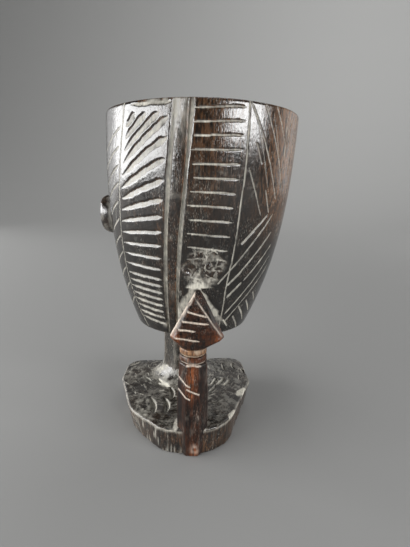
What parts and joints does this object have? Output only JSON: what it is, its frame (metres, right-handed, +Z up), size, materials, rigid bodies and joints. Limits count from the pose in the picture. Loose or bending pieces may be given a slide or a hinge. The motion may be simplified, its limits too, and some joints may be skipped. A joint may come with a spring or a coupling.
{
  "type": "carved wooden cup",
  "caption": "Deep carved wooden drinking cup on an eight-sided stem and low base, with a ringed front post whose pointed head rests on the bowl, a rib band and a small side mask.",
  "frame": {"origin": "on the floor, under the middle of the bowl's underside", "axes": "+Z up, the post stands towards -Y, the side mask faces -X"},
  "size_m": [0.1025, 0.0992, 0.16],
  "materials": {
    "dark_wood": "dark handled patina, glossy, pale residue in the cuts",
    "red_brown_wood": "polished red-brown wood with dark hollows",
    "worn_wood": "worn, paler wood, satin"
  },
  "bodies": {
    "root": {"base": "dark_wood", "stem": "dark_wood", "bowl": "dark_wood", "bowl_rib": "dark_wood", "side_mask": "dark_wood", "post": "red_brown_wood", "lower_neck_ring": "red_brown_wood", "upper_neck_ring": "worn_wood", "post_head": "red_brown_wood"}
  },
  "joints": []
}
